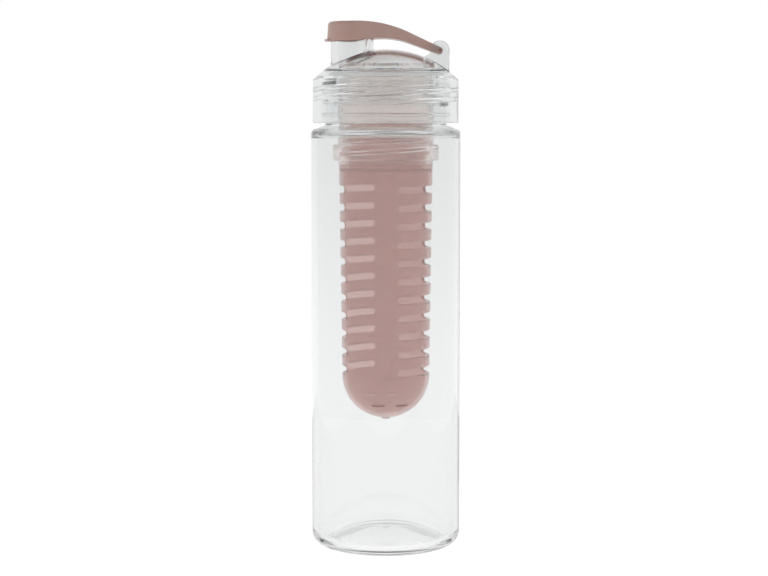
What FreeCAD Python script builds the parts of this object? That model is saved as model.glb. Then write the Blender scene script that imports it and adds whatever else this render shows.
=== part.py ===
import FreeCAD, Part
import math
import os

# Fruit infuser water bottle: a clear screw-top bottle whose lid carries a slotted basket on a
# threaded collar, and a flip cap over a drinking spout.
# Millimetres. +Z is up, the origin is the centre of the base, the spout is at -X, the hinge at +X.

# Bottle body
body_diameter = 73.0
body_wall = 2.4
body_height = 204.5
body_top_rounding = 2.2
base_corner_radius = 6.6
base_inner_corner_radius = 3.9
base_floor = 3.7
base_push_up = 5.2
base_push_up_rounding = 50.0
foot_inner_diameter = 51.0
push_up_top_diameter = 28.0
base_gate_diameter = 3.2
base_gate_height = 0.8
shoulder_rise = 2.67
neck_wall = 2.4
neck_bore_gap = 1.05
neck_height = 22.05
neck_rim_rounding = 0.8
neck_root_rounding = 1.2
neck_bead_height = 1.8
neck_bead_depth = 2.1
neck_bead_above_root = 3.8

# Screw threads, shared by lid and basket
thread_lead = 8.8
thread_starts = 2
thread_root_width = 2.5
thread_crest_width = 1.2
thread_clearance = 0.4
thread_sink = 0.4
thread_ramp_angle = 40.0
thread_section_step = 15.0
thread_loft_sections = 5
neck_thread_depth = 2.0
neck_thread_above_root = 9.7
neck_thread_turns = 1.2
neck_thread_azimuth = 150.0
lid_thread_turns = 1.05
lid_thread_azimuth = 262.0
basket_thread_depth = 1.5
basket_thread_above_shoulder = 2.6
basket_thread_turns = 1.0
basket_thread_azimuth = 200.0

# Screw lid
lid_skirt_wall = 3.95
lid_draft = 0.4
lid_skirt_depth = 22.9
lid_bottom_rounding = 0.7
lid_edge_rounding = 1.2
dome_radius = 49.6
dome_rise = 13.0
dome_wall = 2.5
spigot_wall = 2.05
spigot_depth = 14.8
spigot_clearance = 0.2
spigot_weld_gap = 0.05
spout_diameter = 21.0
spout_bore_diameter = 13.6
spout_inset = 19.35
spout_height = 8.95
spout_rim_rounding = 1.0
spout_rim_draft = 0.15

# Seals
lid_seal_thickness = 1.8
lid_seal_rib_wall = 1.6
lid_seal_side_gap = 0.3
spout_seal_thickness = 2.2
spout_seal_side_gap = 0.3
basket_seal_thickness = 1.5
basket_seal_side_gap = 0.1

# Infuser collar
collar_socket_wall = 1.4
collar_tube_wall = 1.85
collar_band_depth = 2.6
collar_band_height = 7.8
collar_band_rounding = 1.2
collar_lip_wall = 1.2
collar_lip_height = 2.0
collar_ledge_thickness = 1.8
collar_top_gap = 2.3
collar_length = 40.8
snap_bead_depth = 0.6
snap_bead_height = 2.0
snap_bead_above_spigot_end = 4.0

# Infuser basket
basket_length = 124.9
basket_shoulder_width = 2.95
basket_taper = 1.45
basket_wall = 1.8
basket_neck_diameter = 40.1
basket_neck_wall = 1.75
basket_neck_height = 14.5
basket_shoulder_rounding = 0.6
slot_count = 11
slot_groups = 2
slot_pitch = 8.856
slot_first_below_shoulder = 12.07
slot_height = 3.35
slot_lip_rounding = 0.95
slot_half_span = 51.0
slot_group_azimuth = -23.0
drain_length = 6.3
drain_height = 1.5
drain_latitude = 39.6
drain_half_spread = 21.0
drain_pair_azimuth = -82.0
gate_nub_diameter = 4.4
gate_nub_height = 0.5
wall_gate_diameter = 1.3
wall_gate_height = 0.25
wall_gate_below_shoulder = 20.4
wall_gate_azimuth = -90.0

# Flip cap
cap_cup_diameter = 24.4
cap_cup_draft = 0.5
cap_cup_height = 9.4
cap_cup_rounding = 1.8
cap_roof = 2.0
cap_cavity_gap = 0.85
cap_cavity_draft = 0.2
hinge_inset = 9.65
hinge_below_dome_top = 0.9
hinge_barrel_radius = 1.6
hinge_barrel_width = 11.0
hinge_side_gap = 0.4
arm_slope = 25.0
arm_under_slope = 20.5
arm_bend_radius = 58.0
arm_under_radius = 40.0
arm_under_rise = 2.2
arm_edge_rounding = 0.9
arm_waist_radius = 20.0
lip_reach = 1.2
lip_thickness = 0.9
lip_width = 12.0

# Hinge lugs and pin
lug_radius = 4.6
lug_thickness = 3.0
lug_flare = 3.2
lug_flare_drop = 3.4
lug_edge_rounding = 0.5
pin_radius = 0.75
pin_running_gap = 0.05
pin_press_gap = 0.01

# How far a cut or a fused root runs past the face that it meets
overrun = 1.0
face_skin = 0.05

# Radii that follow from the sizes above, from the basket's neck outwards
basket_neck_radius = basket_neck_diameter / 2
basket_neck_bore_radius = basket_neck_radius - basket_neck_wall
basket_top_radius = basket_neck_radius + basket_shoulder_width
basket_bottom_radius = basket_top_radius - basket_taper
collar_bore_radius = basket_neck_radius + basket_thread_depth + thread_clearance
collar_lip_radius = collar_bore_radius + collar_lip_wall
collar_tube_radius = collar_bore_radius + collar_socket_wall
collar_upper_bore_radius = collar_tube_radius - collar_tube_wall
collar_band_radius = collar_tube_radius + collar_band_depth
spigot_bore_radius = collar_tube_radius + spigot_clearance
spigot_radius = spigot_bore_radius + spigot_wall
neck_bore_radius = collar_band_radius + neck_bore_gap
neck_radius = neck_bore_radius + neck_wall
lid_bore_radius = neck_radius + neck_thread_depth + thread_clearance
lid_radius = lid_bore_radius + lid_skirt_wall
body_radius = body_diameter / 2
body_bore_radius = body_radius - body_wall
foot_inner_radius = foot_inner_diameter / 2
push_up_top_radius = push_up_top_diameter / 2
dome_inner_radius = dome_radius - dome_wall
spout_radius = spout_diameter / 2
spout_bore_radius = spout_bore_diameter / 2
spout_axis_x = spout_inset - lid_radius
cap_cup_radius = cap_cup_diameter / 2
cap_cavity_radius = spout_radius + cap_cavity_gap
hinge_x = lid_radius - hinge_inset

# Heights, from the base up to the lid, then down to the basket and up to the cap
neck_root_z = body_height + shoulder_rise
rim_z = neck_root_z + neck_height
ceiling_z = rim_z + lid_seal_thickness
lid_bottom_z = ceiling_z - lid_skirt_depth
dome_top_z = ceiling_z + dome_rise
dome_centre_z = dome_top_z - dome_radius
spigot_end_z = ceiling_z - spigot_depth
snap_bead_z = spigot_end_z + snap_bead_above_spigot_end
collar_top_z = ceiling_z - collar_top_gap
collar_bottom_z = collar_top_z - collar_length
basket_shoulder_z = collar_bottom_z
basket_rim_z = basket_shoulder_z + basket_neck_height
ledge_z = basket_rim_z + basket_seal_thickness
basket_bottom_z = basket_shoulder_z - basket_length
basket_dome_z = basket_bottom_z + basket_bottom_radius
spout_top_z = dome_top_z + spout_height
cap_roof_z = spout_top_z + spout_seal_thickness
cap_top_z = cap_roof_z + cap_roof
cap_bottom_z = cap_top_z - cap_cup_height
hinge_z = dome_top_z - hinge_below_dome_top
barrel_half_width = hinge_barrel_width / 2
lug_inner_y = barrel_half_width + hinge_side_gap
lug_outer_y = lug_inner_y + lug_thickness

thread_pitch = thread_lead / thread_starts

UP = FreeCAD.Vector(0, 0, 1)
ALONG_Y = FreeCAD.Vector(0, 1, 0)
ALONG_X = FreeCAD.Vector(1, 0, 0)
ORIGIN = FreeCAD.Vector(0, 0, 0)


def at(x, z, y=0):
    """A point of the upright X-Z plane, or off it by y."""
    return FreeCAD.Vector(x, y, z)


def rounded_wire(corners):
    """Closed wire in the X-Z plane through (x, z, rounding) corners, with arcs at the rounded ones."""
    points = [at(x, z) for x, z, rounding in corners]
    count = len(corners)
    edges = []
    start = None
    first_start = None
    for index in range(count):
        corner = points[index]
        rounding = corners[index][2]
        to_last = (points[index - 1] - corner).normalize()
        to_next = (points[(index + 1) % count] - corner).normalize()
        entry = corner
        leave = corner
        if rounding > 0:
            half = to_last.getAngle(to_next) / 2
            entry = corner + to_last * (rounding / math.tan(half))
            leave = corner + to_next * (rounding / math.tan(half))
            centre = corner + (to_last + to_next).normalize() * (rounding / math.sin(half))
            middle = centre + (corner - centre).normalize() * rounding
        if start is None:
            first_start = entry
        elif start.distanceToPoint(entry) > Part.Precision.confusion():
            edges.append(Part.LineSegment(start, entry).toShape())
        if rounding > 0:
            edges.append(Part.Arc(entry, middle, leave).toShape())
        start = leave
    if start.distanceToPoint(first_start) > Part.Precision.confusion():
        edges.append(Part.LineSegment(start, first_start).toShape())
    return Part.Wire(edges)


def turned(corners):
    """Solid of revolution about Z of a rounded outline."""
    return Part.Face(rounded_wire(corners)).revolve(ORIGIN, UP, 360)


def plate(corners, y_low, y_high):
    """Rounded outline in the X-Z plane, made a plate from y_low to y_high."""
    face = Part.Face(rounded_wire(corners))
    face.translate(FreeCAD.Vector(0, y_low, 0))
    return face.extrude(ALONG_Y * (y_high - y_low))


def turned_to(shape, azimuth):
    """The shape, turned about Z."""
    shape.rotate(ORIGIN, UP, azimuth)
    return shape


def thread_section(root_radius, depth, start_z, start_azimuth, angle, total):
    """Outline of a ridge part of the way along; at both ends its tip sinks into the wall."""
    side = math.copysign(1, depth)
    foot = root_radius - side * thread_sink
    low_tip = root_radius - side * thread_sink / 2
    high_tip = root_radius + depth
    ramp = math.sin(math.pi / 2 * min(angle, total - angle, thread_ramp_angle) / thread_ramp_angle)
    crest = thread_root_width + (thread_crest_width - thread_root_width) * ramp
    tip = low_tip + (high_tip - low_tip) * ramp
    z = start_z + thread_lead * angle / 360
    section = Part.makePolygon([
        at(foot, z - thread_root_width / 2),
        at(tip, z - crest / 2),
        at(tip, z + crest / 2),
        at(foot, z + thread_root_width / 2),
        at(foot, z - thread_root_width / 2),
    ])
    return turned_to(section, start_azimuth + angle)


def thread(root_radius, depth, start_z, start_azimuth, turns):
    """Right-hand ridges in short lofts, one for each start; a negative depth points them inwards."""
    total = 360 * turns
    steps = math.ceil(total / thread_section_step)
    lofts = []
    for start in range(thread_starts):
        azimuth = start_azimuth + 360 / thread_starts * start
        sections = [thread_section(root_radius, depth, start_z, azimuth, total * index / steps, total)
                    for index in range(steps + 1)]
        for first in range(0, steps, thread_loft_sections):
            stretch = sections[first:first + thread_loft_sections + 1]
            lofts.append(Part.makeLoft(stretch, True, False))
    return lofts


def make_bottle_body():
    """Blow-moulded shell: push-up base, straight wall, sloping shoulder, threaded neck with a bead."""
    floor_z = base_push_up + base_floor
    inner_slope_z = body_height - body_wall
    neck_inner_z = neck_root_z - neck_wall
    bead_z = neck_root_z + neck_bead_above_root
    bead_radius = neck_radius + neck_bead_depth
    shell = turned([
        (0, base_push_up, 0),
        (push_up_top_radius, base_push_up, base_push_up_rounding),
        (foot_inner_radius, 0, base_push_up / 2),
        (body_radius, 0, base_corner_radius),
        (body_radius, body_height, body_top_rounding),
        (neck_radius, neck_root_z, neck_root_rounding),
        (neck_radius, rim_z, neck_rim_rounding),
        (neck_bore_radius, rim_z, neck_rim_rounding),
        (neck_bore_radius, neck_inner_z, neck_root_rounding + neck_wall),
        (body_bore_radius, inner_slope_z, body_top_rounding),
        (body_bore_radius, base_floor, base_inner_corner_radius),
        (foot_inner_radius + base_floor, base_floor, base_floor),
        (push_up_top_radius + base_floor, floor_z, base_push_up_rounding),
        (0, floor_z, 0),
    ])
    bead = turned([
        (neck_radius - thread_sink, bead_z, 0),
        (bead_radius, bead_z, neck_bead_height / 3),
        (bead_radius, bead_z + neck_bead_height, neck_bead_height / 3),
        (neck_radius - thread_sink, bead_z + neck_bead_height, 0),
    ])
    ridges = thread(neck_radius, neck_thread_depth, neck_root_z + neck_thread_above_root,
                    neck_thread_azimuth, neck_thread_turns)
    gate = Part.makeCylinder(base_gate_diameter / 2, base_gate_height + base_floor / 2,
                             at(0, base_push_up - base_gate_height), UP)
    return shell.fuse([bead, gate] + ridges).removeSplitter()


def lid_void():
    """The hollow under the dome, less the rib that presses on the seal."""
    bore = Part.makeCylinder(lid_bore_radius, dome_top_z - lid_bottom_z + overrun,
                             at(0, lid_bottom_z - overrun), UP)
    rib_inner = neck_bore_radius + (neck_wall - lid_seal_rib_wall) / 2
    rib_outer = rib_inner + lid_seal_rib_wall
    rib = turned([
        (rib_inner, ceiling_z, 0),
        (rib_outer, ceiling_z, 0),
        (rib_outer, dome_top_z, 0),
        (rib_inner, dome_top_z, 0),
    ])
    dome = Part.makeSphere(dome_inner_radius, at(0, dome_centre_z))
    return bore.common(dome).cut(rib)


def spout_bore():
    """The way from the hollow under the dome out through the spout."""
    low_z = ceiling_z - overrun
    return Part.makeCylinder(spout_bore_radius, spout_top_z + overrun - low_z, at(spout_axis_x, low_z), UP)


def make_collar_spigot():
    """Clear ring welded under the dome, with a groove inside that the collar snaps into."""
    ring = turned([
        (spigot_bore_radius, spigot_end_z, 0),
        (spigot_radius, spigot_end_z, spigot_wall / 4),
        (spigot_radius, dome_top_z, 0),
        (spigot_bore_radius, dome_top_z, 0),
    ])
    snap_groove = turned([
        (collar_tube_radius, snap_bead_z - spigot_clearance, 0),
        (spigot_bore_radius + snap_bead_depth, snap_bead_z - spigot_clearance, snap_bead_depth / 2),
        (spigot_bore_radius + snap_bead_depth, snap_bead_z + snap_bead_height + spigot_clearance,
         snap_bead_depth / 2),
        (collar_tube_radius, snap_bead_z + snap_bead_height + spigot_clearance, 0),
    ])
    dome = Part.makeSphere(dome_inner_radius - spigot_weld_gap, at(0, dome_centre_z))
    return ring.common(dome).cut([snap_groove, spout_bore()])


def make_lugs():
    """The two hinge lugs, with their feet inside the dome."""
    foot_z = ceiling_z
    left_x = hinge_x - lug_radius
    right_x = hinge_x + lug_radius
    outline = [
        (left_x - lug_flare, foot_z, 0),
        (left_x - lug_flare, hinge_z - lug_flare_drop, 0),
        (left_x, hinge_z - lug_flare_drop / 3, lug_radius / 3),
        (left_x, hinge_z + lug_radius, lug_radius),
        (right_x, hinge_z + lug_radius, lug_radius),
        (right_x, foot_z, 0),
    ]
    lugs = []
    for y_low, y_high in ((lug_inner_y, lug_outer_y), (-lug_outer_y, -lug_inner_y)):
        lug = plate(outline, y_low, y_high)
        rims = [edge for edge in lug.Edges if edge.BoundBox.YLength < face_skin
                and edge.BoundBox.ZMax > foot_z + face_skin]
        lugs.append(lug.makeFillet(lug_edge_rounding, rims))
    return lugs


def make_screw_lid():
    """Clear lid: skirt, dome, spout and lugs in one piece, hollowed, then threaded."""
    edge_radius = lid_radius - lid_draft
    skirt = turned([
        (0, lid_bottom_z, 0),
        (lid_radius, lid_bottom_z, lid_bottom_rounding),
        (edge_radius, dome_top_z, 0),
        (0, dome_top_z, 0),
    ])
    outside = skirt.common(Part.makeSphere(dome_radius, at(0, dome_centre_z)))
    rims = [edge for edge in outside.Edges if edge.BoundBox.ZLength < face_skin
            and edge.BoundBox.ZMin > ceiling_z - lid_skirt_depth / 2
            and edge.BoundBox.XLength > lid_radius]
    outside = outside.makeFillet(lid_edge_rounding, rims)
    spout = turned([
        (0, ceiling_z, 0),
        (spout_radius, ceiling_z, 0),
        (spout_radius - spout_rim_draft, spout_top_z, spout_rim_rounding),
        (0, spout_top_z, 0),
    ])
    spout.translate(at(spout_axis_x, 0))
    pin_hole = Part.makeCylinder(pin_radius + pin_running_gap, 2 * (lug_outer_y + overrun),
                                 at(hinge_x, hinge_z, -lug_outer_y - overrun), ALONG_Y)
    lid = outside.fuse([spout] + make_lugs()).cut([lid_void(), spout_bore(), pin_hole])
    ridge_turn = (lid_thread_azimuth - neck_thread_azimuth) / 360
    ridge_z = neck_root_z + neck_thread_above_root - thread_pitch / 2 + thread_lead * ridge_turn
    ridges = thread(lid_bore_radius, -neck_thread_depth, ridge_z, lid_thread_azimuth, lid_thread_turns)
    return lid.fuse(ridges)


def make_lid_seal():
    """Flat silicone ring round the spigot, between the neck's rim and the lid's rib."""
    inner = spigot_radius + lid_seal_side_gap
    outer = neck_radius - lid_seal_side_gap
    return turned([
        (inner, rim_z, 0),
        (outer, rim_z, lid_seal_thickness / 4),
        (outer, ceiling_z, lid_seal_thickness / 4),
        (inner, ceiling_z, 0),
    ])


def make_infuser_collar():
    """Sleeve that snaps into the spigot: ledge for the basket's rim, wide ring, threaded socket."""
    band_low_z = collar_bottom_z + collar_lip_height
    band_high_z = band_low_z + collar_band_height
    ledge_bore = basket_neck_bore_radius
    bead_radius = collar_tube_radius + snap_bead_depth
    sleeve = turned([
        (collar_bore_radius, collar_bottom_z, 0),
        (collar_lip_radius, collar_bottom_z, (collar_lip_radius - collar_bore_radius) / 3),
        (collar_lip_radius, band_low_z, 0),
        (collar_band_radius, band_low_z, collar_band_rounding),
        (collar_band_radius, band_high_z, collar_band_rounding),
        (collar_tube_radius, band_high_z, collar_band_rounding / 2),
        (collar_tube_radius, snap_bead_z, 0),
        (bead_radius, snap_bead_z, snap_bead_depth / 2),
        (bead_radius, snap_bead_z + snap_bead_height, snap_bead_depth / 2),
        (collar_tube_radius, snap_bead_z + snap_bead_height, 0),
        (collar_tube_radius, collar_top_z, collar_tube_wall / 4),
        (collar_upper_bore_radius, collar_top_z, collar_tube_wall / 4),
        (collar_upper_bore_radius, ledge_z + collar_ledge_thickness, collar_tube_wall / 4),
        (ledge_bore, ledge_z + collar_ledge_thickness, collar_ledge_thickness / 4),
        (ledge_bore, ledge_z, 0),
        (collar_bore_radius, ledge_z, 0),
    ])
    ridges = thread(collar_bore_radius, -basket_thread_depth,
                    basket_shoulder_z + basket_thread_above_shoulder + thread_pitch / 2,
                    basket_thread_azimuth, basket_thread_turns)
    return sleeve.fuse(ridges).removeSplitter()


def make_basket_seal():
    """Silicone ring that rides on the basket's rim."""
    inner = basket_neck_bore_radius + basket_seal_side_gap
    outer = basket_neck_radius - basket_seal_side_gap
    corner = basket_seal_thickness / 5
    return turned([
        (inner, basket_rim_z, 0),
        (outer, basket_rim_z, corner),
        (outer, ledge_z, corner),
        (inner, ledge_z, 0),
    ])


def basket_radius_at(z):
    """Outside radius of the tapered basket wall at a height."""
    fall_share = (basket_shoulder_z - z) / (basket_shoulder_z - basket_dome_z)
    return basket_top_radius + (basket_bottom_radius - basket_top_radius) * fall_share


def slot_tool(z, azimuth):
    """One slot with rounded lips and rounded ends, through the wall at height z."""
    outer = basket_radius_at(z) + face_skin
    inner = outer - basket_wall - overrun
    beyond = outer + overrun
    half = slot_height / 2
    lip = half + slot_lip_rounding
    section = [
        (inner, 0, 0),
        (beyond, 0, 0),
        (beyond, lip, 0),
        (outer, lip, 0),
        (outer, half, slot_lip_rounding),
        (inner, half, 0),
    ]
    end_turn = slot_half_span - math.degrees(half / outer)
    upper = Part.Face(rounded_wire(section)).revolve(ORIGIN, UP, 2 * end_turn)
    turned_to(upper, azimuth - end_turn)
    lower = upper.mirror(ORIGIN, UP)
    pieces = [upper, lower]
    for side in (-end_turn, end_turn):
        end = Part.Face(rounded_wire(section)).revolve(ORIGIN, ALONG_X, 360)
        pieces.append(turned_to(end, azimuth + side))
    tool = pieces[0].fuse(pieces[1:])
    tool.translate(at(0, z))
    return tool


def drain_tool(azimuth):
    """A short drain slot square to the basket's round bottom."""
    half_run = (drain_length - drain_height) / 2
    start = basket_bottom_radius - basket_wall - overrun
    reach = basket_wall + 2 * overrun
    tool = Part.makeBox(reach, 2 * half_run, drain_height, at(start, -drain_height / 2, -half_run))
    ends = [Part.makeCylinder(drain_height / 2, reach, at(start, 0, side), ALONG_X)
            for side in (-half_run, half_run)]
    tool = tool.fuse(ends)
    tool.rotate(ORIGIN, ALONG_Y, drain_latitude)
    turned_to(tool, azimuth)
    tool.translate(at(0, basket_dome_z))
    return tool


def make_infuser_basket():
    """Tapered see-through basket: threaded neck, two groups of slots, round bottom with drains."""
    inner_bottom = basket_bottom_radius - basket_wall
    inner_top = basket_top_radius - basket_wall
    shoulder_inner_z = basket_shoulder_z - basket_wall
    outside = turned([
        (0, basket_dome_z, 0),
        (basket_bottom_radius, basket_dome_z, 0),
        (basket_top_radius, basket_shoulder_z, basket_shoulder_rounding),
        (basket_neck_radius, basket_shoulder_z, 0),
        (basket_neck_radius, basket_rim_z, 0),
        (0, basket_rim_z, 0),
    ]).fuse(Part.makeSphere(basket_bottom_radius, at(0, basket_dome_z)))
    nub = Part.makeCylinder(gate_nub_diameter / 2, gate_nub_height + basket_wall,
                            at(0, basket_bottom_z - gate_nub_height), UP)
    gate_z = basket_shoulder_z - wall_gate_below_shoulder
    gate_reach = basket_radius_at(gate_z) + wall_gate_height
    wall_gate = Part.makeCylinder(wall_gate_diameter / 2, basket_wall, at(gate_reach - basket_wall, gate_z),
                                  ALONG_X)
    turned_to(wall_gate, wall_gate_azimuth)
    hollow = turned([
        (0, basket_dome_z, 0),
        (inner_bottom, basket_dome_z, 0),
        (inner_top, shoulder_inner_z, basket_wall),
        (basket_neck_bore_radius, shoulder_inner_z, 0),
        (basket_neck_bore_radius, basket_rim_z + overrun, 0),
        (0, basket_rim_z + overrun, 0),
    ]).fuse(Part.makeSphere(inner_bottom, at(0, basket_dome_z)))
    cuts = []
    for group in range(slot_groups):
        azimuth = slot_group_azimuth + 360 / slot_groups * group
        for index in range(slot_count):
            z = basket_shoulder_z - slot_first_below_shoulder - slot_pitch * index
            cuts.append(slot_tool(z, azimuth))
        for side in (-drain_half_spread, drain_half_spread):
            cuts.append(drain_tool(drain_pair_azimuth + 360 / slot_groups * group + side))
    basket = outside.fuse([nub, wall_gate]).cut(hollow).cut(cuts)
    ridges = thread(basket_neck_radius, basket_thread_depth,
                    basket_shoulder_z + basket_thread_above_shoulder,
                    basket_thread_azimuth, basket_thread_turns)
    return basket.fuse(ridges).removeSplitter()


def arm_line():
    """Corners of the arm's level top, its bend and its sloping top, and those of its underside."""
    along = at(math.cos(math.radians(arm_slope)), -math.sin(math.radians(arm_slope)))
    across = at(-along.z, along.x)
    hinge = at(hinge_x, hinge_z)
    end_high = hinge + (along + across) * hinge_barrel_radius
    end_low = hinge + (along - across) * hinge_barrel_radius
    under_z = cap_bottom_z + arm_under_rise
    bend_x = end_high.x - (cap_top_z - end_high.z) / math.tan(math.radians(arm_slope))
    under_x = end_low.x - (under_z - end_low.z) / math.tan(math.radians(arm_under_slope))
    top = [(bend_x, cap_top_z, arm_bend_radius), (end_high.x, end_high.z, hinge_barrel_radius)]
    under = [(end_low.x, end_low.z, hinge_barrel_radius), (under_x, under_z, arm_under_radius)]
    return top, under


def cap_side():
    """Plate with the cap's outline from the side: level top, bend, sloping arm, round end, underside."""
    top, under = arm_line()
    left_x = spout_axis_x - cap_cup_diameter
    return plate([
        (left_x, cap_bottom_z, 0),
        (left_x, cap_top_z, 0),
    ] + top + under + [
        (spout_axis_x, cap_bottom_z, arm_under_radius),
    ], -cap_cup_diameter, cap_cup_diameter)


def arm_plan(z):
    """Outline of the arm from above at height z: tangent to the cup, drawn in to the barrel's width."""
    cup_radius = cap_cup_radius - cap_cup_draft * (z - cap_bottom_z) / cap_cup_height
    waist_x = hinge_x - 2 * hinge_barrel_radius
    end_x = hinge_x + hinge_barrel_radius + overrun
    reach = waist_x - spout_axis_x
    slope = (math.asin(cup_radius / math.hypot(reach, barrel_half_width))
             - math.atan2(barrel_half_width, reach))
    touch_x = spout_axis_x + cup_radius * math.sin(slope)
    touch_y = cup_radius * math.cos(slope)
    outline = rounded_wire([
        (spout_axis_x, -cap_cavity_radius, 0),
        (touch_x, -touch_y, 0),
        (waist_x, -barrel_half_width, arm_waist_radius),
        (end_x, -barrel_half_width, 0),
        (end_x, barrel_half_width, 0),
        (waist_x, barrel_half_width, arm_waist_radius),
        (touch_x, touch_y, 0),
        (spout_axis_x, cap_cavity_radius, 0),
    ])
    outline.rotate(ORIGIN, ALONG_X, 90)
    outline.translate(at(0, z))
    return outline


def make_arm():
    """Arm of the flip cap: level over the cup, bent down to a round end on the hinge axis."""
    low_z = hinge_z - hinge_barrel_radius - overrun
    plan = Part.makeLoft([arm_plan(low_z), arm_plan(cap_top_z + overrun)], True, True)
    arm = cap_side().common(plan)
    rims = [edge for edge in arm.Edges if edge.BoundBox.XMax > spout_axis_x + cap_cup_radius / 2
            and edge.BoundBox.ZLength < 3 * edge.BoundBox.XLength
            and edge.BoundBox.YMin * edge.BoundBox.YMax > 0]
    return arm.makeFillet(arm_edge_rounding, rims)


def make_flip_cap():
    """Cap with a cup over the spout, thumb lip, arm and hinge barrel."""
    cup = turned([
        (0, cap_bottom_z, 0),
        (cap_cup_radius, cap_bottom_z, 0),
        (cap_cup_radius - cap_cup_draft, cap_top_z, cap_cup_rounding),
        (0, cap_top_z, 0),
    ])
    cup.translate(at(spout_axis_x, 0))
    lip_radius = cap_cup_radius + lip_reach
    lip = Part.makeCylinder(lip_radius, lip_thickness, at(spout_axis_x, cap_bottom_z), UP)
    lip_zone = Part.makeBox(lip_radius, lip_width, lip_thickness,
                            at(spout_axis_x - lip_radius, cap_bottom_z, -lip_width / 2))
    cavity = turned([
        (0, cap_bottom_z - overrun, 0),
        (cap_cavity_radius, cap_bottom_z - overrun, 0),
        (cap_cavity_radius - cap_cavity_draft, cap_roof_z, 0),
        (0, cap_roof_z, 0),
    ])
    cavity.translate(at(spout_axis_x, 0))
    pin_hole = Part.makeCylinder(pin_radius + pin_press_gap, hinge_barrel_width + 2 * overrun,
                                 at(hinge_x, hinge_z, -barrel_half_width - overrun), ALONG_Y)
    cup = cup.common(cap_side())
    cap = cup.fuse([lip.common(lip_zone), make_arm()])
    return cap.cut([cavity, pin_hole]).removeSplitter()


def make_spout_seal():
    """Silicone disc in the roof of the cup, resting on the spout's rim."""
    disc = Part.makeCylinder(cap_cavity_radius - cap_cavity_draft - spout_seal_side_gap,
                             spout_seal_thickness, at(spout_axis_x, spout_top_z), UP)
    return disc


def make_hinge_pin():
    """Pin through both lugs and the barrel, flush with the lugs."""
    return Part.makeCylinder(pin_radius, 2 * lug_outer_y, at(hinge_x, hinge_z, -lug_outer_y), ALONG_Y)


def single_solid(shape):
    """The one solid that a piece must be."""
    solids = shape.Solids
    if len(solids) != 1 or not solids[0].isValid():
        raise ValueError("a piece has %d solids or isn't valid" % len(solids))
    return solids[0]


pieces = {
    "bottle_body": make_bottle_body,
    "screw_lid": make_screw_lid,
    "collar_spigot": make_collar_spigot,
    "lid_seal": make_lid_seal,
    "infuser_collar": make_infuser_collar,
    "basket_seal": make_basket_seal,
    "infuser_basket": make_infuser_basket,
    "flip_cap": make_flip_cap,
    "spout_seal": make_spout_seal,
    "hinge_pin": make_hinge_pin,
}

os.makedirs("parts", exist_ok=True)
for name, make in pieces.items():
    solid = single_solid(make())
    solid.exportStep("parts/%s.step" % name)
    print("%-16s volume %9.1f mm3" % (name, solid.Volume))
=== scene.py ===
import bpy
import math
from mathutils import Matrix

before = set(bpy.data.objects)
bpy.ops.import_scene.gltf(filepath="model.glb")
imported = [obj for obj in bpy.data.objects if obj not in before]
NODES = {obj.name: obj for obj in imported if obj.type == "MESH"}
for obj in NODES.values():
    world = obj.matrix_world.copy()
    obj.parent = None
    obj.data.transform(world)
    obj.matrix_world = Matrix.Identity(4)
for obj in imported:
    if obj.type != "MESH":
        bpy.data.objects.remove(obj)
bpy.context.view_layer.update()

# Studio, in millimetres and degrees; azimuths are measured from the camera's side
TABLE_WIDTH = 760.0
TABLE_GLOW = 0.86
SOFTBOX_AZIMUTH = 64.0
SOFTBOX_DISTANCE = 1200.0
SOFTBOX_WIDTH = 1250.0
SOFTBOX_HEIGHT = 1500.0
SOFTBOX_CENTRE_HEIGHT = 350.0
SOFTBOX_RADIANCE = 0.7
# How the studio's brightness changes with the direction: axis, start and end on it, level at each
BACKDROP = ("Z", -0.16, 0.06, 1.0, 0.83)
CEILING = ("Z", 0.35, 0.9, 1.0, 0.5)
CAMERA_SIDE = ("Y", -0.98, -0.65, 0.25, 1.0)
CAMERA_SIDE_FOOT = ("Z", -0.03, 0.12, 1.0, 0.25)
CAMERA_LENS = 84.375
CAMERA_PLACE = (-0.9, -884.1, 205.7)
CAMERA_TILT = 5.08
# The lid, neck, spigot, collar and basket lie inside each other, so light crosses many clear walls
CLEAR_WALL_BOUNCES = 64
# Sockets of a Mix node that mixes colours
MIX_FACTOR, MIX_FIRST, MIX_SECOND, MIX_RESULT = 0, 6, 7, 2


def millimetres(value):
    """A length in millimetres, as metres."""
    return value / 1000.0


def linear(hex_colour):
    """An sRGB hex colour as linear red, green, blue and alpha."""
    channels = [int(hex_colour[i:i + 2], 16) / 255.0 for i in (1, 3, 5)]
    return [c / 12.92 if c <= 0.04045 else ((c + 0.055) / 1.055) ** 2.4 for c in channels] + [1.0]


def add(tree, kind, settings=None, links=None):
    """Adds a node, sets its properties or input values, and links other nodes' outputs into its inputs."""
    node = tree.nodes.new(kind)
    for key, value in (settings or {}).items():
        if isinstance(key, str) and hasattr(node, key):
            setattr(node, key, value)
        else:
            node.inputs[key].default_value = value
    for key, output in (links or {}).items():
        tree.links.new(output, node.inputs[key])
    return node


def new_material(name):
    """An empty node material and its tree."""
    material = bpy.data.materials.new(name)
    material.use_nodes = True
    material.node_tree.nodes.clear()
    return material, material.node_tree


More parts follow.
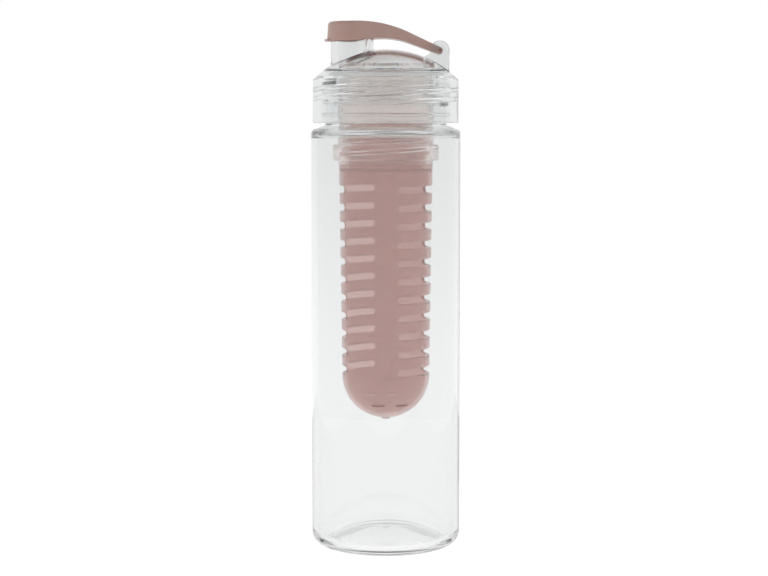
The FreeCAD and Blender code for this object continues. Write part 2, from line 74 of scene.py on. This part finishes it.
def clear_copolyester():
    """Clear copolyester, blown and moulded: polished, with faint slow waves and a grey cast in
    thick sections."""
    material, tree = new_material("clear_copolyester")
    place = add(tree, "ShaderNodeTexCoord")
    waves = add(tree, "ShaderNodeTexNoise", {"Scale": 1 / millimetres(38), "Detail": 1.0},
                {"Vector": place.outputs["Object"]})
    bump = add(tree, "ShaderNodeBump", {"Strength": 0.05, "Distance": millimetres(0.4)},
               {"Height": waves.outputs["Fac"]})
    smears = add(tree, "ShaderNodeTexNoise", {"Scale": 1 / millimetres(24), "Detail": 4.0},
                 {"Vector": place.outputs["Object"]})
    gloss = add(tree, "ShaderNodeMapRange", {"To Min": 0.0, "To Max": 0.03},
                {"Value": smears.outputs["Fac"]})
    surface = add(tree, "ShaderNodeBsdfPrincipled",
                  {"Base Color": linear("#F7F8F8"), "IOR": 1.54, "Transmission Weight": 1.0},
                  {"Roughness": gloss.outputs["Result"], "Normal": bump.outputs["Normal"]})
    depth = add(tree, "ShaderNodeVolumeAbsorption", {"Color": linear("#BFC3C4"), "Density": 2.0})
    add(tree, "ShaderNodeOutputMaterial", None,
        {"Surface": surface.outputs["BSDF"], "Volume": depth.outputs["Volume"]})
    return material


def pink_clear_plastic():
    """Tinted clear plastic, moulded: dusty pink, darker where two walls lie behind each other."""
    material, tree = new_material("pink_clear_plastic")
    place = add(tree, "ShaderNodeTexCoord")
    flow = add(tree, "ShaderNodeTexNoise", {"Scale": 1 / millimetres(30), "Detail": 2.0},
               {"Vector": place.outputs["Object"]})
    tint = add(tree, "ShaderNodeMix",
               {"data_type": "RGBA", MIX_FIRST: linear("#DDBBB5"), MIX_SECOND: linear("#E3C3BD")},
               {MIX_FACTOR: flow.outputs["Fac"]})
    bump = add(tree, "ShaderNodeBump", {"Strength": 0.05, "Distance": millimetres(0.3)},
               {"Height": flow.outputs["Fac"]})
    gloss = add(tree, "ShaderNodeMapRange", {"To Min": 0.03, "To Max": 0.1},
                {"Value": flow.outputs["Fac"]})
    surface = add(tree, "ShaderNodeBsdfPrincipled", {"IOR": 1.5, "Transmission Weight": 0.76},
                  {"Base Color": tint.outputs[MIX_RESULT], "Roughness": gloss.outputs["Result"],
                   "Normal": bump.outputs["Normal"]})
    add(tree, "ShaderNodeOutputMaterial", None, {"Surface": surface.outputs["BSDF"]})
    return material


def milky_polypropylene():
    """Milky polypropylene, moulded: lets light through but blurs what is behind it."""
    material, tree = new_material("milky_polypropylene")
    place = add(tree, "ShaderNodeTexCoord")
    cloud = add(tree, "ShaderNodeTexNoise", {"Scale": 1 / millimetres(12), "Detail": 3.0},
                {"Vector": place.outputs["Object"]})
    tint = add(tree, "ShaderNodeMix",
               {"data_type": "RGBA", MIX_FIRST: linear("#FDF5F2"), MIX_SECOND: linear("#FEF8F6")},
               {MIX_FACTOR: cloud.outputs["Fac"]})
    gloss = add(tree, "ShaderNodeMapRange", {"To Min": 0.14, "To Max": 0.2},
                {"Value": cloud.outputs["Fac"]})
    surface = add(tree, "ShaderNodeBsdfPrincipled", {"IOR": 1.49, "Transmission Weight": 0.93},
                  {"Base Color": tint.outputs[MIX_RESULT], "Roughness": gloss.outputs["Result"]})
    add(tree, "ShaderNodeOutputMaterial", None, {"Surface": surface.outputs["BSDF"]})
    return material


def pink_satin_plastic():
    """Dusty pink polypropylene, moulded in a lightly blasted tool: soft gloss and a fine grain."""
    material, tree = new_material("pink_satin_plastic")
    place = add(tree, "ShaderNodeTexCoord")
    # A blasted tool's grain is finer than this; it is drawn at half a millimetre to show at all.
    grain = add(tree, "ShaderNodeTexNoise", {"Scale": 1 / millimetres(0.5), "Detail": 2.0},
                {"Vector": place.outputs["Object"]})
    flow = add(tree, "ShaderNodeTexNoise", {"Scale": 1 / millimetres(9), "Detail": 3.0},
               {"Vector": place.outputs["Object"]})
    tint = add(tree, "ShaderNodeMix",
               {"data_type": "RGBA", MIX_FIRST: linear("#A88B82"), MIX_SECOND: linear("#AF9289")},
               {MIX_FACTOR: flow.outputs["Fac"]})
    bump = add(tree, "ShaderNodeBump", {"Strength": 0.08, "Distance": millimetres(0.05)},
               {"Height": grain.outputs["Fac"]})
    gloss = add(tree, "ShaderNodeMapRange", {"To Min": 0.26, "To Max": 0.4},
                {"Value": flow.outputs["Fac"]})
    surface = add(tree, "ShaderNodeBsdfPrincipled",
                  {"IOR": 1.49, "Subsurface Weight": 0.25, "Subsurface Radius": (0.004, 0.002, 0.002),
                   "Subsurface Scale": 1.0},
                  {"Base Color": tint.outputs[MIX_RESULT], "Roughness": gloss.outputs["Result"],
                   "Normal": bump.outputs["Normal"]})
    add(tree, "ShaderNodeOutputMaterial", None, {"Surface": surface.outputs["BSDF"]})
    return material


def dark_pink_acetal():
    """Dark pink acetal, turned: the hinge pin, seen through the near lug."""
    material, tree = new_material("dark_pink_acetal")
    place = add(tree, "ShaderNodeTexCoord")
    mottle = add(tree, "ShaderNodeTexNoise", {"Scale": 1 / millimetres(1.0), "Detail": 2.0},
                 {"Vector": place.outputs["Object"]})
    tint = add(tree, "ShaderNodeMix",
               {"data_type": "RGBA", MIX_FIRST: linear("#7A4A48"), MIX_SECOND: linear("#855553")},
               {MIX_FACTOR: mottle.outputs["Fac"]})
    surface = add(tree, "ShaderNodeBsdfPrincipled", {"IOR": 1.48, "Roughness": 0.3},
                  {"Base Color": tint.outputs[MIX_RESULT]})
    add(tree, "ShaderNodeOutputMaterial", None, {"Surface": surface.outputs["BSDF"]})
    return material


def translucent_silicone():
    """Translucent silicone, pressed: matt and cloudy."""
    material, tree = new_material("translucent_silicone")
    place = add(tree, "ShaderNodeTexCoord")
    cloud = add(tree, "ShaderNodeTexNoise", {"Scale": 1 / millimetres(6), "Detail": 3.0},
                {"Vector": place.outputs["Object"]})
    tint = add(tree, "ShaderNodeMix",
               {"data_type": "RGBA", MIX_FIRST: linear("#F4F4F2"), MIX_SECOND: linear("#FAFAF8")},
               {MIX_FACTOR: cloud.outputs["Fac"]})
    surface = add(tree, "ShaderNodeBsdfPrincipled",
                  {"IOR": 1.41, "Roughness": 0.3, "Transmission Weight": 0.45},
                  {"Base Color": tint.outputs[MIX_RESULT]})
    add(tree, "ShaderNodeOutputMaterial", None, {"Surface": surface.outputs["BSDF"]})
    return material


def dress(node, material):
    """Gives a CAD node its finish."""
    NODES[node].data.materials.clear()
    NODES[node].data.materials.append(material)


clear = clear_copolyester()
rubber = translucent_silicone()
dress("bottle_body", clear)
dress("screw_lid", clear)
dress("collar_spigot", clear)
dress("infuser_collar", milky_polypropylene())
dress("infuser_basket", pink_clear_plastic())
dress("flip_cap", pink_satin_plastic())
dress("hinge_pin", dark_pink_acetal())
for seal in ("lid_seal", "basket_seal", "spout_seal"):
    dress(seal, rubber)


def make_floor():
    """White table top: pale to the light that it bounces, white to the camera and through clear plastic,
    and darker where the bottle's shadow falls."""
    bpy.ops.mesh.primitive_plane_add(size=millimetres(TABLE_WIDTH), location=(0, 0, 0))
    floor = bpy.context.object
    floor.name = "table_top"
    material, tree = new_material("white_laminate")
    path = add(tree, "ShaderNodeLightPath")
    seen = add(tree, "ShaderNodeMath", {"operation": "MAXIMUM"},
               {0: path.outputs["Is Camera Ray"], 1: path.outputs["Is Transmission Ray"]})
    pale = add(tree, "ShaderNodeBsdfDiffuse", {"Color": linear("#F4F4F4")})
    shade = add(tree, "ShaderNodeBsdfDiffuse", {"Color": linear("#8C8C8C")})
    glow = add(tree, "ShaderNodeEmission", {"Color": linear("#FFFFFF"), "Strength": TABLE_GLOW})
    white = add(tree, "ShaderNodeAddShader", None, {0: shade.outputs["BSDF"], 1: glow.outputs["Emission"]})
    surface = add(tree, "ShaderNodeMixShader", None,
                  {0: seen.outputs["Value"], 1: pale.outputs["BSDF"], 2: white.outputs["Shader"]})
    add(tree, "ShaderNodeOutputMaterial", None, {"Surface": surface.outputs["Shader"]})
    floor.data.materials.append(material)


def make_world():
    """White studio: plain white to the camera; through clear plastic its backdrop is a little darker than
    the table and the room behind the camera is dim; as light and in reflections its ceiling is dim too."""
    world = bpy.data.worlds.new("studio")
    world.use_nodes = True
    tree = world.node_tree
    tree.nodes.clear()
    path = add(tree, "ShaderNodeLightPath")
    place = add(tree, "ShaderNodeTexCoord")
    way = add(tree, "ShaderNodeSeparateXYZ", None, {"Vector": place.outputs["Generated"]})

    def fade(axis, start, end, start_level, end_level):
        """A brightness that changes softly along an axis."""
        level = add(tree, "ShaderNodeMapRange",
                    {"interpolation_type": "SMOOTHSTEP", "From Min": start, "From Max": end,
                     "To Min": start_level, "To Max": end_level}, {"Value": way.outputs[axis]})
        return level.outputs["Result"]

    def joined(operation, first, second):
        """Two brightnesses as one."""
        level = add(tree, "ShaderNodeMath", {"operation": operation}, {0: first, 1: second})
        return level.outputs["Value"]

    room = joined("MAXIMUM", fade(*CAMERA_SIDE), fade(*CAMERA_SIDE_FOOT))
    seen_level = joined("MULTIPLY", fade(*BACKDROP), room)
    light_level = joined("MULTIPLY", seen_level, fade(*CEILING))
    shown = add(tree, "ShaderNodeBackground", {"Color": linear("#FFFFFF")}, {"Strength": light_level})
    through = add(tree, "ShaderNodeBackground", {"Color": linear("#FFFFFF")}, {"Strength": seen_level})
    white = add(tree, "ShaderNodeBackground", {"Color": linear("#FFFFFF"), "Strength": 1.0})
    for ray, seen in (("Is Transmission Ray", through), ("Is Camera Ray", white)):
        shown = add(tree, "ShaderNodeMixShader", None,
                    {0: path.outputs[ray], 1: shown.outputs[0], 2: seen.outputs[0]})
    add(tree, "ShaderNodeOutputWorld", None, {"Surface": shown.outputs[0]})
    bpy.context.scene.world = world


def softbox(name, azimuth):
    """A tall soft studio light at the bottle's side, forward of it, turned to its axis."""
    lamp = bpy.data.lights.new(name, "AREA")
    lamp.shape = "RECTANGLE"
    lamp.size = millimetres(SOFTBOX_WIDTH)
    lamp.size_y = millimetres(SOFTBOX_HEIGHT)
    lamp.energy = SOFTBOX_RADIANCE * math.pi * lamp.size * lamp.size_y
    holder = bpy.data.objects.new(name, lamp)
    bpy.context.scene.collection.objects.link(holder)
    turn = math.radians(azimuth)
    distance = millimetres(SOFTBOX_DISTANCE)
    holder.location = (distance * math.sin(turn), -distance * math.cos(turn),
                       millimetres(SOFTBOX_CENTRE_HEIGHT))
    holder.rotation_euler = (math.pi / 2, 0, turn)
    holder.visible_camera = False
    holder.visible_glossy = False
    holder.visible_transmission = False


def make_camera():
    """A long lens about level with the lid's lower edge, tilted down, with the whole bottle in the frame."""
    camera = bpy.data.objects.new("camera", bpy.data.cameras.new("camera"))
    camera.data.lens = CAMERA_LENS
    camera.location = [millimetres(value) for value in CAMERA_PLACE]
    camera.rotation_euler = (math.radians(90.0 - CAMERA_TILT), 0, 0)
    bpy.context.scene.collection.objects.link(camera)
    bpy.context.scene.camera = camera


make_floor()
make_world()
softbox("softbox_left", -SOFTBOX_AZIMUTH)
softbox("softbox_right", SOFTBOX_AZIMUTH)
make_camera()
scene = bpy.context.scene
scene.view_settings.view_transform = "Standard"
scene.cycles.max_bounces = CLEAR_WALL_BOUNCES
scene.cycles.glossy_bounces = CLEAR_WALL_BOUNCES
scene.cycles.transmission_bounces = CLEAR_WALL_BOUNCES
scene.cycles.blur_glossy = 0.0
